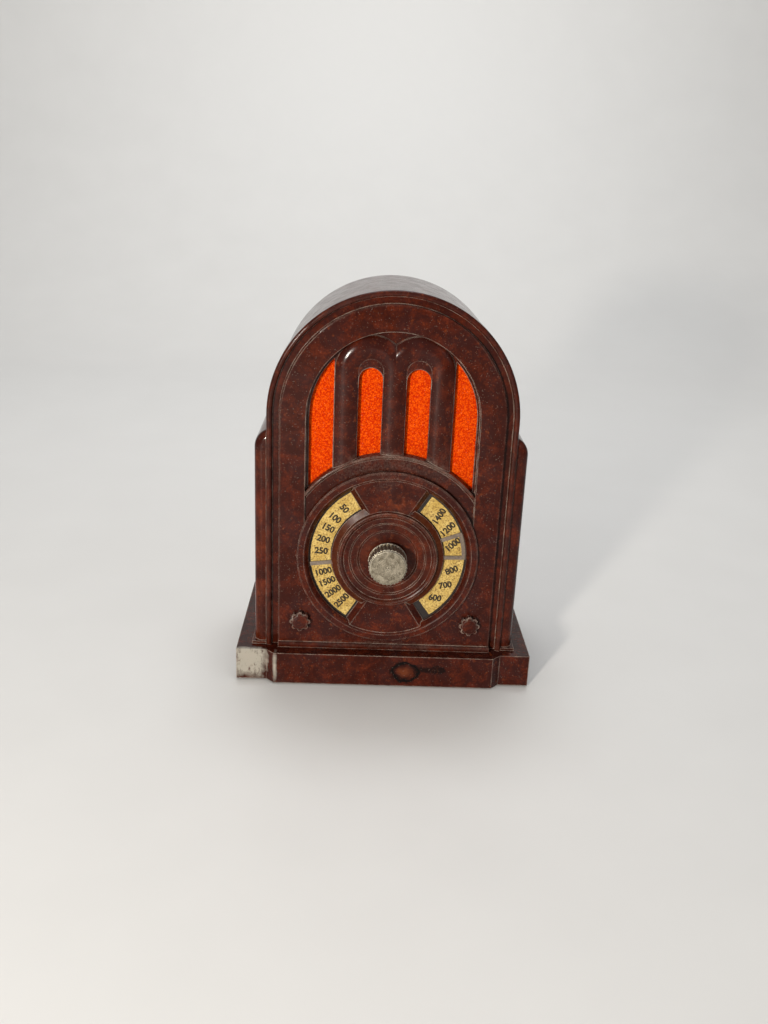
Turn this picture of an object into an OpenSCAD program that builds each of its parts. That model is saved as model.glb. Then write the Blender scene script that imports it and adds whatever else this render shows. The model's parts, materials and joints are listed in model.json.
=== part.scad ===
// Small arch-topped bakelite table radio, in millimetres.
// X runs to the right, +Y to the back and +Z up. The origin is at the middle of the footprint.
// "Depth" below always means the distance behind the plane of the front face.

/* [Case] */
// Width of the plinth
plinth_width = 165; // [160:1:170]
// Height of the plinth's top face above the table
plinth_top = 19.2; // [18:0.1:21]
// Height of the centre of the arch
arch_height = 151.7; // [150:0.1:156]
// Outer radius of the front surround
surround_radius = 66.3; // [66:0.1:67]
// How much smaller the rear body's radius is
body_step = 0.8; // [0.4:0.1:1.2]
// Depth of the joint between the front frame and the rear body
joint_depth = 14; // [13.8:0.1:14.4]
// Depth of the rear edge of the body
case_depth = 86; // [86:0.5:90]
// Half the width across the side wings
wing_reach = 73; // [72:0.1:74]
// Wall thickness of the mouldings
wall = 3.2; // [3:0.1:3.5]

/* [Front] */
// Radius of the face ring, which is also half the face's width
face_radius = 59.5; // [59:0.1:60]
// Radius of the sunk grille field
grille_radius = 45.6; // [45:0.1:46]
// Width of a grille bar
bar_width = 12.4; // [12:0.1:12.8]
// Distance between the centre lines of neighbouring bars
bar_pitch = 24.9; // [24.5:0.1:25]

/* [Dial] */
// Height of the dial's centre
dial_height = 74.5; // [74:0.1:75]
// Outer radius of the dial ring
ring_radius = 49.6; // [49:0.1:50]
// Inner edge of the paper scales
paper_inner = 31.2; // [31:0.1:31.5]
// Outer edge of the paper scales
paper_outer = 42.3; // [41.5:0.1:42.5]
// Radius of the tuning knob
knob_radius = 10.5; // [10:0.1:11]
// Number of flutes in the knob's rim
knob_flutes = 32; // [24:2:40]

/* [Controls] */
// How far the corner knobs stand from the centre line
corner_x = 47.2; // [46.5:0.1:47.5]
// Height of the corner knobs
corner_z = 36; // [35.5:0.1:36.5]
// Teeth on the spindle gear
spindle_teeth = 54; // [54:1:54]
// Teeth on the tuning capacitor's gear
capacitor_teeth = 28; // [28:1:28]

/* [Hidden] */
$fn = 96;

// Fits
running = 0.05;         // radial clearance of a shaft that turns
loose = 0.3;            // radial clearance of a part that is only dropped in

// Depths of the front face's levels
plinth_front = -5;      // corner blocks of the plinth
plinth_nose = -9.3;     // middle of the plinth
plinth_back = 88;
knob_front = -14.5;
panel_back = 6;         // rear of the front panel
cove_floor = 3.2;       // sunk band between the face ring and the outer rim
grille_floor = 4;
bar_crest = 0.8;
hood_front = 1.5;       // sunk band round the dial
bead_front = 0.3;       // raised bead along the hood's outer edge
hood_edge = 58;         // outer radius of that bead
plate_front = 2.1;      // front of the scale plate
plate_back = 2.9;
cursor_front = 0.9;
cursor_back = 1.4;

// The footprint is centred on the origin, from the knob's front to the plinth's back
face_y = -(plinth_back + knob_front) / 2;

body_radius = surround_radius - body_step;
inner_radius = body_radius - wall;
rim_width = 3;
rim_inner = surround_radius - rim_width;
foot_gap = 0.8;
floor_z = plinth_top - 3.2;
shoulder_radius = 10;
shoulder_x = wing_reach - shoulder_radius;
shoulder_z = 133.5;
wing_front = 3;
wing_round = 4.5;
wing_inner = wing_reach - wall;
bulkhead_back = joint_depth + 3;
lip_radius = inner_radius - 2.9;
cover_front = case_depth - 2.4;
cover_back = case_depth - 0.4;
cover_margin = 1.6;
chassis_top = 54;
chassis_front = 15;
chassis_back = 80;
sheet = 1.2;            // thickness of the steel sheet
speaker_z = 160;
shaft_r = 3;
corner_shaft_r = 2;
gear_module = 0.6;
gear_front = 23.2;
gear_back = 26.2;
rotor_x = gear_module * (spindle_teeth + capacitor_teeth) / 2;
valve_x = 36;
valve_depth = 64;
frame_posts = [[54.5, 104], [41.7, 186.7]];
cover_lugs = [[65.5, 27], [44, 188.6]];
chassis_fixings = [[50, 22], [50, 72]];
wedge_inner = 9.6;      // half-width of a dial bridge where it meets the boss
wedge_outer = 23.1;     // half-width of a dial bridge where it meets the ring
wedge_slope = 3.4;      // how far a bridge's flank runs out towards the scale
cursor_angle = 7;       // rest position of the cursor's pointer, anticlockwise from level
window_low = -5.5;      // lower arm of the cursor's window, from the line of the pointer
window_high = 13.5;     // upper arm of it

bakelite = [0.22, 0.09, 0.07];
bakelite_red = [0.33, 0.12, 0.08];
nickel = [0.68, 0.66, 0.60];
steel = [0.55, 0.56, 0.58];
brass = [0.75, 0.60, 0.30];
paxolin = [0.45, 0.28, 0.14];

// ---- helpers -------------------------------------------------------------------------------

// An outline drawn as (x, z), extruded from depth d0 to depth d1
module slab(d0, d1) {
    translate([0, face_y + d1, 0]) rotate([90, 0, 0]) linear_extrude(height = d1 - d0) children();
}

// A profile drawn as (radius, depth), turned about an axis that runs front to back.
// The angles are seen from the front, anticlockwise from +X.
module lathe(x, z, from = 0, to = 360) {
    translate([x, face_y, z]) rotate([-90, 0, 0]) rotate([0, 0, -to])
        rotate_extrude(angle = to - from) children();
}

// A round rod along the front-to-back direction
module rod(r, x, z, d0, d1) {
    translate([x, face_y + d0, z]) rotate([-90, 0, 0]) cylinder(r = r, h = d1 - d0);
}

// Moves children to a place given by x, depth and height
module place(x, d, z) {
    translate([x, face_y + d, z]) children();
}

// A box given by its limits in x, depth and height
module block(x0, x1, d0, d1, z0, z1) {
    place(x0, d0, z0) cube([x1 - x0, d1 - d0, z1 - z0]);
}

// Copies children to the left side as well
module both_sides() {
    children();
    mirror([1, 0, 0]) children();
}

// Outline: an arch on straight sides, standing at z0
module arch(r, z0) {
    translate([0, arch_height]) circle(r);
    translate([-r, z0]) square([2 * r, arch_height - z0]);
}

// Outline: both wings, with rounded shoulders
module wings(reach, corner, z0) {
    translate([-reach, z0]) square([2 * reach, shoulder_z - z0]);
    for (s = [-1, 1]) translate([s * (reach - corner), shoulder_z]) circle(corner);
}

module cavity(margin, z0) {
    arch(inner_radius + margin, z0);
    wings(wing_inner + margin, shoulder_radius - wall + margin, z0);
}

// Places children at every mirrored position of a list of [x, z]
module at_pairs(spots) {
    for (p = spots, s = [-1, 1]) translate([s * p[0], 0, p[1]]) children();
}

// Teeth with flat tips and straight flanks; phase is in teeth
function gear_points(teeth, phase) = let (r = gear_module * teeth / 2, a = 360 / teeth) [
    for (i = [0 : teeth - 1], k = [[-0.28, -0.85], [-0.11, 0.55], [0.11, 0.55], [0.28, -0.85]])
        let (t = (i + phase + k[0]) * a, q = r + k[1]) [q * cos(t), q * sin(t)]
];

// A fluted circle: the rim goes in and out once a flute
function fluted_points(r, flutes, depth) = let (steps = 6) [
    for (i = [0 : flutes * steps - 1])
        let (t = 360 * i / (flutes * steps), q = r - depth * pow(sin(180 * i / steps), 4))
            [q * cos(t), q * sin(t)]
];

// A hexagon nut on an axis that runs front to back
module nut(across, bore, x, z, d0, d1) {
    difference() {
        place(x, d0, z) rotate([-90, 0, 0]) cylinder(r = across / sqrt(3), h = d1 - d0, $fn = 6);
        rod(bore, x, z, d0 - 1, d1 + 1);
    }
}

// A pan-head screw along the depth direction, head to the back
module rear_screw(r, head_r, head_h, seat, tip) {
    rod(r, 0, 0, tip, seat + 0.2);
    difference() {
        rod(head_r, 0, 0, seat, seat + head_h);
        block(-head_r, head_r, seat + head_h - 0.7, seat + head_h + 1, -0.4, 0.4);
    }
}

// ---- case ----------------------------------------------------------------------------------

module plinth_plan(inset) {
    w = plinth_width / 2 - inset;
    f = plinth_front + inset;
    n = plinth_nose + inset;
    step = plinth_front - plinth_nose;
    block_end = plinth_width / 2 - 16.9 + inset * 0.4;
    polygon([
        [-w, plinth_back - inset], [-w, f], [-block_end, f], [-block_end + step, n],
        [block_end - step, n], [block_end, f], [w, f], [w, plinth_back - inset]
    ]);
}

module wing_shell() {
    flat = wing_reach - wing_round;
    slab(wing_front + wing_round, case_depth) wings(wing_reach, shoulder_radius, plinth_top - 1);
    slab(wing_front, wing_front + wing_round + 0.1)
        wings(flat, shoulder_radius - wing_round, plinth_top - 1);
    both_sides() {
        place(flat, wing_front + wing_round, plinth_top - 1)
            cylinder(r = wing_round, h = shoulder_z - plinth_top + 1);
        lathe(shoulder_x, shoulder_z, 0, 90)
            translate([shoulder_radius - wing_round, wing_front + wing_round]) circle(wing_round);
    }
}

module cabinet() {
    color(bakelite) {
        difference() {
            union() {
                slab(bulkhead_back - 3, case_depth) arch(body_radius, plinth_top - 1);
                wing_shell();
                place(0, 0, foot_gap) linear_extrude(height = plinth_top - foot_gap) plinth_plan(0);
                slab(wing_front - 1.2, case_depth + 0.6) translate([-wing_reach - 1.3, plinth_top - 1])
                    square([2 * wing_reach + 2.6, 2.6]);
            }
            // seat of the front frame
            slab(wing_front - 2, joint_depth) arch(surround_radius + running, plinth_top);
            // inside of the body, of the bulkhead and of the rebate for the back cover
            slab(joint_depth - 1, bulkhead_back + 1) arch(lip_radius, plinth_top);
            slab(bulkhead_back, case_depth + 5) cavity(0, plinth_top);
            slab(cover_front - 0.05, case_depth + 5) cavity(cover_margin, plinth_top);
            // hollow underside
            place(0, 0, -1) linear_extrude(height = floor_z + 1) plinth_plan(wall);
            for (p = chassis_fixings, s = [-1, 1])
                place(s * p[0], p[1], floor_z - 1) cylinder(r = 2.1, h = 6);
        }
        // locating lip inside the front frame
        difference() {
            slab(joint_depth - 3, bulkhead_back) arch(inner_radius + 0.4, plinth_top);
            slab(joint_depth - 4, bulkhead_back + 1) arch(lip_radius, plinth_top - 1);
        }
        // lugs for the front frame's screws
        difference() {
            at_pairs(frame_posts) rod(6, 0, 0, joint_depth, bulkhead_back);
            at_pairs(frame_posts) rod(1.6, 0, 0, joint_depth - 1, bulkhead_back + 1);
        }
        // lugs for the back cover's screws
        difference() {
            at_pairs(cover_lugs) rod(5.5, 0, 0, cover_front - 9, cover_front - 0.05);
            at_pairs(cover_lugs) rod(1.45, 0, 0, cover_front - 7.5, cover_front + 1);
        }
        // posts that hold the feet
        difference() {
            for (x = [-71, 71], d = [6, 77]) place(x, d, foot_gap) cylinder(r = 8.5, h = floor_z);
            for (x = [-71, 71], d = [6, 77]) place(x, d, 0) cylinder(r = 6.1, h = 2.8);
        }
    }
}

// Sweeps a section, drawn as (distance from the centre line, depth), round the arch and down its sides
module swept() {
    lathe(0, arch_height, 0, 180) children();
    both_sides() place(0, 0, plinth_top + running)
        linear_extrude(height = arch_height - plinth_top - running) children();
}

module rim() {
    nose = rim_width / 2;
    front = 0.3;
    swept() {
        translate([rim_inner + nose, front + nose]) circle(nose);
        translate([rim_inner, front + nose]) square([rim_width, cove_floor + 0.1 - front - nose]);
    }
}

module face_panel() {
    edge = 0.8;
    band = 6;
    slab(0, panel_back) arch(face_radius - band / 2, plinth_top + running);
    swept() {
        translate([face_radius - edge, edge]) circle(edge);
        translate([face_radius - band, 0]) square([band - edge, panel_back]);
        translate([face_radius - band, edge]) square([band, panel_back - edge]);
    }
}

// Round-topped slot between two bars
module inner_slots(d0, d1) {
    slot = (bar_pitch - bar_width) / 2;
    slab(d0, d1) for (s = [-1, 1]) {
        translate([s * bar_pitch / 2, 172]) circle(slot);
        translate([s * bar_pitch / 2 - slot, 118]) square([2 * slot, 54]);
    }
}

// The outer slots follow the arch
module outer_slots(d0, d1) {
    edge = bar_pitch + bar_width / 2 + 0.3;
    slab(d0, d1) intersection() {
        arch(grille_radius - 1.5, 100);
        for (s = [-1, 1]) translate([s * (edge + 10), 150]) square([20, 120], center = true);
    }
}

module bar_profile(wide_in) {
    crown = 10;
    intersection() {
        translate([bar_pitch / 2, bar_crest + crown]) circle(crown);
        translate([bar_pitch / 2 - bar_width / 2 - wide_in, 0])
            square([bar_width + wide_in, grille_floor + 0.1]);
    }
}

module grille_bars() {
    bow_z = 176.3;
    difference() {
        union() {
            for (s = [-1, 1]) lathe(s * bar_pitch / 2, bow_z, 0, 180) bar_profile(1.8);
            for (i = [-1, 0, 1]) translate([(i - 0.5) * bar_pitch, 0, 0])
                place(0, 0, 118) linear_extrude(height = bow_z - 118) bar_profile(0);
            slab(2.8, grille_floor + 0.1) for (s = [-1, 1]) {
                translate([s * bar_pitch / 2, bow_z]) circle(7);
                translate([s * bar_pitch / 2 - 7, 168]) square([14, bow_z - 168]);
            }
        }
        inner_slots(-1, grille_floor + 1);
        // the bars run into the hood's bead and end there
        rod(hood_edge, 0, dial_height, -1, grille_floor + 1);
    }
}

module hood() {
    intersection() {
        lathe(0, dial_height) polygon([
            [40, hood_front], [56, hood_front], [56.4, bead_front + 0.4], [56.9, bead_front],
            [hood_edge - 0.5, bead_front], [hood_edge, bead_front + 0.4],
            [hood_edge + 0.4, grille_floor], [hood_edge + 0.4, panel_back], [40, panel_back]
        ]);
        slab(0, panel_back) arch(grille_radius, dial_height);
    }
}

module front_frame() {
    step_top = 23.3;
    color(bakelite_red) difference() {
        union() {
            // surround with its sunk band and rim
            difference() {
                slab(cove_floor, joint_depth) arch(surround_radius, plinth_top + running);
                slab(panel_back, joint_depth + 1) arch(inner_radius + 0.5, plinth_top - 1);
                slab(cove_floor - 1, joint_depth + 1) arch(face_radius - 1.5, plinth_top - 1);
            }
            rim();
            difference() {
                face_panel();
                slab(-1, grille_floor) arch(grille_radius, dial_height);
                inner_slots(-1, panel_back + 1);
                outer_slots(-1, panel_back + 1);
            }
            grille_bars();
            hood();
            // step along the foot of the face
            block(-face_radius, face_radius, -0.6, 1, plinth_top + running, step_top - 1.2);
            block(-face_radius, face_radius, -1.8, 1, plinth_top + running, step_top - 2.4);
            place(-face_radius, -0.6, step_top - 2.4) rotate([0, 90, 0])
                cylinder(r = 1.2, h = 2 * face_radius);
            at_pairs(frame_posts) rod(3.5, 0, 0, panel_back - 1, joint_depth);
        }
        // seat of the dial and its scale plate
        rod(ring_radius - 3.1, 0, dial_height, -3, panel_back + 1);
        rod(ring_radius + 0.6, 0, dial_height, plate_front, panel_back + 1);
        // holes for the corner shafts and the fixing screws
        both_sides() rod(corner_shaft_r + 0.6, corner_x, corner_z, -3, panel_back + 1);
        at_pairs(frame_posts) rod(1.45, 0, 0, panel_back + 1, joint_depth + 1);
    }
}

module back_cover() {
    color([0.36, 0.25, 0.16]) difference() {
        slab(cover_front, cover_back) cavity(cover_margin - loose, plinth_top + 0.2);
        at_pairs(cover_lugs) rod(1.7, 0, 0, cover_front - 1, cover_back + 1);
        rod(6, -44, 34, cover_front - 1, cover_back + 1);
        block(26, 54, cover_front - 1, cover_back + 1, 29, 43);
        // ventilation slots
        for (z = [64 : 8 : 128], x = [-34, 0, 34]) slab(cover_front - 1, cover_back + 1) {
            translate([x - 11, z - 1.5]) square([22, 3]);
            for (s = [-1, 1]) translate([x + s * 11, z]) circle(1.5);
        }
        for (z = [150 : 8 : 182], x = [-16, 16]) slab(cover_front - 1, cover_back + 1) {
            translate([x - 9, z - 1.5]) square([18, 3]);
            for (s = [-1, 1]) translate([x + s * 9, z]) circle(1.5);
        }
    }
}

module back_screws() {
    color(steel) at_pairs(cover_lugs) rear_screw(1.4, 3, 1.8, cover_back, cover_front - 7);
}

module frame_screws() {
    color(steel) at_pairs(frame_posts) rear_screw(1.4, 2.8, 1.8, bulkhead_back, joint_depth - 6);
}

module rubber_feet() {
    color([0.08, 0.08, 0.08]) for (x = [-71, 71], d = [6, 77]) place(x, d, 0) {
        cylinder(r1 = 5.4, r2 = 6, h = foot_gap);
        translate([0, 0, foot_gap]) cylinder(r = 6, h = 2);
    }
}

// ---- dial ----------------------------------------------------------------------------------

// A bridge between the boss and the ring, whose flanks slope down to the scales
module dial_bridge() {
    front = -1.3;
    back = plate_front - 0.2;
    inset = 3;              // the middle stops inside the sloped flanks
    start = 24.3;
    lean = atan((wedge_outer - wedge_inner) / (ring_radius - 3.7 - start));
    intersection() {
        union() {
            slab(front, back) polygon([
                [inset - wedge_inner, start], [wedge_inner - inset, start],
                [wedge_outer - inset, ring_radius - 3.7], [inset - wedge_outer, ring_radius - 3.7]
            ]);
            both_sides() translate([wedge_inner, face_y, start]) rotate([0, lean, 0])
                translate([0, 0, -8]) linear_extrude(height = 40)
                    polygon([[-6, front], [0, front], [wedge_slope, back], [-6, back]]);
        }
        difference() {
            rod(44.9, 0, 0, front - 1, back + 1);
            rod(24.8, 0, 0, front - 2, back + 2);
        }
    }
}

module dial_escutcheon() {
    color(bakelite) difference() {
        union() {
            lathe(0, dial_height) polygon([
                [4.2, 0.5], [4.2, -0.7], [15.6, -0.7], [16.6, -1.4], [20.2, -1.5], [21, -2.2],
                [24, -2.3], [24.9, -3.2], [25.5, -3.5], [26.6, -3.5], [27, -3.2], [27.3, -1.1],
                [30.8, 0.2], [30.8, 0.5]
            ]);
            lathe(0, dial_height) polygon([
                [43.2, plate_front - 0.1], [43.2, 0.5], [44.8, -1.4], [45.3, -1.9], [45.8, -2.2],
                [48.8, -2.2], [49.4, -1.9], [ring_radius, -1.4], [ring_radius, 0], [46.4, 0],
                [46.4, plate_front - 0.1]
            ]);
            translate([0, 0, dial_height]) {
                dial_bridge();
                mirror([0, 0, 1]) dial_bridge();
            }
        }
        at_dial_screws() rod(1.1, 0, 0, -0.2, 3);
    }
}

module at_dial_screws() {
    for (s = [-1, 1]) translate([0, 0, dial_height + s * 36]) children();
}

module dial_screws() {
    color(steel) at_dial_screws() rear_screw(1.05, 2.2, 1.4, plate_back, 0);
}

module scale_plate() {
    color([0.15, 0.1, 0.08]) difference() {
        rod(ring_radius + 0.4, 0, dial_height, plate_front, plate_back);
        rod(6, 0, dial_height, plate_front - 1, plate_back + 1);
        at_dial_screws() rod(1.3, 0, 0, plate_front - 1, plate_back + 1);
    }
}

module scale(from, to) {
    color([0.85, 0.74, 0.42]) lathe(0, dial_height, from, to)
        translate([paper_inner, plate_front - 0.15]) square([paper_outer - paper_inner, 0.15]);
}

module left_scale() {
    scale(118, 238.5);
}

module right_scale() {
    scale(-54, 57.5);
}

module dial_cursor() {
    reach = paper_outer + 0.6;
    bar = 2.2;
    color([0.42, 0.37, 0.30]) {
        difference() {
            union() {
                rod(22, 0, dial_height, cursor_front, cursor_back);
                rod(5, 0, dial_height, cursor_back - 0.2, plate_back + 2);
                for (a = [window_low, window_high, 180])
                    translate([0, 0, dial_height]) rotate([0, -a - cursor_angle, 0])
                        block(18, reach - 0.3, cursor_front, cursor_back, -bar / 2, bar / 2);
                lathe(0, dial_height, cursor_angle + window_low - 1, cursor_angle + window_high + 1)
                    translate([reach - bar, cursor_front]) square([bar, cursor_back - cursor_front]);
            }
            rod(shaft_r + 0.02, 0, dial_height, cursor_front - 1, plate_back + 3);
        }
    }
}

module tuning_knob() {
    back = -4.1;
    color(nickel) difference() {
        union() {
            translate([0, 0, dial_height]) slab(knob_front + 0.9, back - 1.2)
                polygon(fluted_points(knob_radius - 0.12, knob_flutes, 0.55));
            lathe(0, dial_height) polygon([
                [0, knob_front], [9.3, knob_front], [9.7, knob_front + 0.3],
                [9.7, knob_front + 1.5], [0, knob_front + 1.5]
            ]);
            rod(knob_radius, 0, dial_height, back - 1.3, back);
        }
        rod(0.7, 0, dial_height, knob_front - 1, knob_front + 0.5);
        rod(shaft_r + 0.02, 0, dial_height, -12.4, back + 1);
    }
}

module tuning_spindle() {
    color(steel) {
        rod(shaft_r, 0, dial_height, -12.2, 27.6);
        // collar in front of the bush keeps the spindle from moving back
        difference() {
            rod(5.2, 0, dial_height, 7.6, 9.8);
            rod(shaft_r - 0.5, 0, dial_height, 7, 10);
        }
    }
}

module spindle_bush() {
    color(brass) {
        difference() {
            union() {
                rod(4.7, 0, dial_height, 10, 19);
                rod(6.6, 0, dial_height, chassis_front + 3.2, chassis_front + 5.2);
            }
            rod(shaft_r + running, 0, dial_height, 9, 22);
        }
    }
}

module spindle_bracket() {
    front = chassis_front + 2;
    color(steel) difference() {
        union() {
            block(-14, 14, front, front + sheet, chassis_top, dial_height + 13);
            block(-14, 14, front, front + 11, chassis_top, chassis_top + sheet);
        }
        rod(4.75, 0, dial_height, front - 1, front + 2);
    }
}

module spindle_gear() {
    color(brass) difference() {
        union() {
            translate([0, 0, dial_height]) slab(gear_front, gear_back) polygon(gear_points(spindle_teeth, 0));
            rod(5.5, 0, dial_height, chassis_front + 5.4, gear_front + 0.1);
        }
        rod(shaft_r + 0.02, 0, dial_height, 18, gear_back + 1);
        for (a = [0 : 60 : 300])
            rod(3, 10.5 * cos(a), dial_height + 10.5 * sin(a), gear_front - 1, gear_back + 1);
    }
}

// ---- tuning capacitor ------------------------------------------------------------------------

plate_pitch = 2.4;
plate_thick = 0.6;
first_plate = 32;
rotor_plates = 5;
capacitor_front = 29;
capacitor_back = 45.4;

module capacitor_gear() {
    color(brass) difference() {
        union() {
            translate([rotor_x, 0, dial_height]) slab(gear_front, gear_back)
                polygon(gear_points(capacitor_teeth, 0.5));
            rod(5, rotor_x, dial_height, gear_back - 0.1, gear_back + 2.2);
        }
        rod(shaft_r + 0.02, rotor_x, dial_height, gear_front - 1, gear_back + 3);
    }
}

module capacitor_rotor() {
    color([0.8, 0.8, 0.82]) {
        rod(shaft_r, rotor_x, dial_height, gear_front - 0.6, capacitor_back + 1.6);
        for (i = [0 : rotor_plates - 1]) lathe(rotor_x, dial_height, -22.4, 157.6)
            translate([0, first_plate + i * plate_pitch]) square([13, plate_thick]);
    }
}

module capacitor_stator() {
    color([0.72, 0.72, 0.75]) {
        for (i = [0 : rotor_plates - 2])
            lathe(rotor_x, dial_height, -90, 90)
                translate([4.4, first_plate + (i + 0.5) * plate_pitch]) square([12.2, plate_thick]);
        for (a = [-40, 40])
            rod(1, rotor_x + 14.9 * cos(a), dial_height + 14.9 * sin(a),
                capacitor_front + sheet, capacitor_back - sheet);
    }
}

module capacitor_frame() {
    half = 17.6;
    color(steel) difference() {
        union() {
            for (d = [capacitor_front, capacitor_back - sheet])
                block(rotor_x - half, rotor_x + half, d, d + sheet, chassis_top, dial_height + 15);
            block(rotor_x - half, rotor_x + half, capacitor_front, capacitor_back,
                chassis_top, chassis_top + sheet);
        }
        rod(shaft_r + running, rotor_x, dial_height, capacitor_front - 1, capacitor_back + 1);
    }
}

// ---- corner controls -------------------------------------------------------------------------

module corner_knob(x) {
    front = -4.6;
    back = -0.4;
    color(bakelite) difference() {
        union() {
            translate([x, 0, corner_z]) slab(front + 1.3, back) polygon(fluted_points(5.8, 8, 1.4));
            lathe(x, corner_z) polygon([
                [0, front], [2.6, front], [4, front + 0.3], [4.9, front + 1],
                [5, front + 1.4], [0, front + 1.4]
            ]);
        }
        rod(corner_shaft_r + 0.02, x, corner_z, front + 1.2, back + 1);
        for (a = [22.5 : 45 : 337.5])
            rod(0.7, x + 4.9 * cos(a), corner_z + 4.9 * sin(a), front - 1, front + 1.4);
    }
}

module corner_shaft(x) {
    color(steel) rod(corner_shaft_r, x, corner_z, -3.2, 21.5);
}

// Body and threaded bush of a control fixed to the front of the chassis
module control_body(x, r, tone) {
    color(tone) difference() {
        union() {
            rod(r, x, corner_z, chassis_front + sheet, chassis_front + 9.5);
            rod(3.5, x, corner_z, 9, chassis_front + sheet + 0.1);
        }
        rod(corner_shaft_r + running, x, corner_z, 8, 22);
    }
}

module volume_knob() {
    corner_knob(-corner_x);
}

module volume_shaft() {
    corner_shaft(-corner_x);
}

module volume_control() {
    control_body(-corner_x, 10, [0.3, 0.22, 0.15]);
    // the three tags
    color(brass) for (x = [-5, 0, 5])
        block(x - corner_x - 1, x - corner_x + 1, 21, 22, corner_z + 9, corner_z + 14.5);
}

module band_knob() {
    corner_knob(corner_x);
}

module band_shaft() {
    corner_shaft(corner_x);
}

module band_switch() {
    control_body(corner_x, 7, steel);
    color(paxolin) difference() {
        rod(10.4, corner_x, corner_z, chassis_front + 9.5, chassis_front + 11);
        rod(4, corner_x, corner_z, chassis_front + 9, chassis_front + 12);
    }
}

module control_nuts() {
    color(brass) {
        for (s = [-1, 1]) nut(10, 3.55, s * corner_x, corner_z, chassis_front - 2.1, chassis_front);
        nut(13, 4.75, 0, dial_height, chassis_front - 0.2, chassis_front + 2);
    }
}

// ---- loudspeaker -----------------------------------------------------------------------------

board_front = 6.7;
board_back = 9.7;

module grille_cloth() {
    color([0.95, 0.25, 0.04]) slab(panel_back, board_front) difference() {
        arch(49, 106);
        translate([0, dial_height]) circle(ring_radius + 1);
    }
}

module baffle_board() {
    color([0.62, 0.45, 0.26]) difference() {
        slab(board_front, board_back) difference() {
            arch(49, 104);
            translate([0, dial_height]) circle(ring_radius + 1);
        }
        rod(33, 0, speaker_z, board_front - 1, board_back + 1);
    }
}

module speaker_gasket() {
    color([0.55, 0.42, 0.28]) difference() {
        rod(41, 0, speaker_z, board_back, board_back + 0.9);
        rod(35, 0, speaker_z, board_back - 1, board_back + 2);
    }
}

module speaker_basket() {
    color(steel) difference() {
        lathe(0, speaker_z) polygon([
            [35, 10.6], [41, 10.6], [41, 11.8], [37.6, 11.8], [22, 28], [16, 28], [16, 29.2], [12, 29.2],
            [12, 26.8], [20.6, 26.8], [35, 11.8]
        ]);
        for (a = [0, 90]) translate([0, 0, speaker_z]) rotate([0, a + 45, 0])
            block(-9, 9, 13.5, 25.5, -50, 50);
    }
}

module speaker_magnet() {
    color([0.35, 0.36, 0.38]) lathe(0, speaker_z) polygon([
        [0, 29.2], [7.8, 29.2], [7.8, 41], [9.9, 41], [9.9, 29.2], [16, 29.2], [16, 45], [0, 45]
    ]);
}

module speaker_cone() {
    color([0.16, 0.15, 0.14]) lathe(0, speaker_z) polygon([
        [0, 22.6], [4, 22.8], [7, 23.6], [9.2, 25], [30.6, 13], [31.4, 13], [31.4, 13.6], [31, 13.7],
        [9.4, 25.9], [6.6, 24.4], [3.8, 23.6], [0, 23.4]
    ]);
}

module voice_coil() {
    color([0.72, 0.4, 0.2]) difference() {
        rod(9.2, 0, speaker_z, 26, 37);
        rod(8.7, 0, speaker_z, 25, 38);
    }
}

// ---- chassis and what stands on it -------------------------------------------------------------

module chassis() {
    half = 58;
    base = plinth_top + 0.1;
    color([0.62, 0.62, 0.6]) difference() {
        union() {
            block(-half, half, chassis_front, chassis_back, chassis_top - sheet, chassis_top);
            for (d = [chassis_front, chassis_back - sheet])
                block(-half, half, d, d + sheet, base, chassis_top);
            block(-half, half, chassis_front, chassis_front + 12, base, base + sheet);
            block(-half, half, chassis_back - 12, chassis_back, base, base + sheet);
        }
        for (p = chassis_fixings, s = [-1, 1]) place(s * p[0], p[1], base - 1) cylinder(r = 1.8, h = 4);
        for (s = [-1, 1]) {
            place(s * valve_x, valve_depth, chassis_top - 3) cylinder(r = 13.1, h = 5);
            rod(3.6, s * corner_x, corner_z, chassis_front - 1, chassis_front + 3);
        }
        block(30, 50, chassis_back - 3, chassis_back + 1, 31.5, 40.5);
        rod(5, -44, 34, chassis_back - 3, chassis_back + 1);
    }
}

module chassis_screws() {
    color(steel) for (p = chassis_fixings, s = [-1, 1]) place(s * p[0], p[1], 0) {
        translate([0, 0, floor_z - 0.1]) cylinder(r = 1.75, h = 8);
        difference() {
            translate([0, 0, floor_z - 2.4]) cylinder(r = 3.4, h = 2.4);
            translate([-4, -0.45, floor_z - 3]) cube([8, 0.9, 1.4]);
        }
    }
}

module at_valves() {
    for (s = [-1, 1]) place(s * valve_x, valve_depth, chassis_top) children();
}

module valve_holders() {
    color([0.12, 0.1, 0.1]) at_valves() difference() {
        union() {
            translate([0, 0, -8]) cylinder(r = 13, h = 9);
            cylinder(r = 15.5, h = 1);
        }
        for (a = [0 : 45 : 315]) rotate(a) translate([8.7, 0, -9]) cylinder(r = 1.25, h = 12);
        translate([0, 0, -9]) cylinder(r = 4.2, h = 12);
    }
}

module valve_base() {
    color([0.14, 0.08, 0.06]) {
        difference() {
            translate([0, 0, 1.1]) cylinder(r = 14, h = 19);
            translate([0, 0, 4]) cylinder(r = 12.6, h = 20);
        }
        translate([0, 0, -8]) cylinder(r = 4, h = 9.2);
        for (a = [0 : 45 : 315]) rotate(a) translate([8.7, 0, -7]) cylinder(r = 1.1, h = 9);
    }
}

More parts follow.
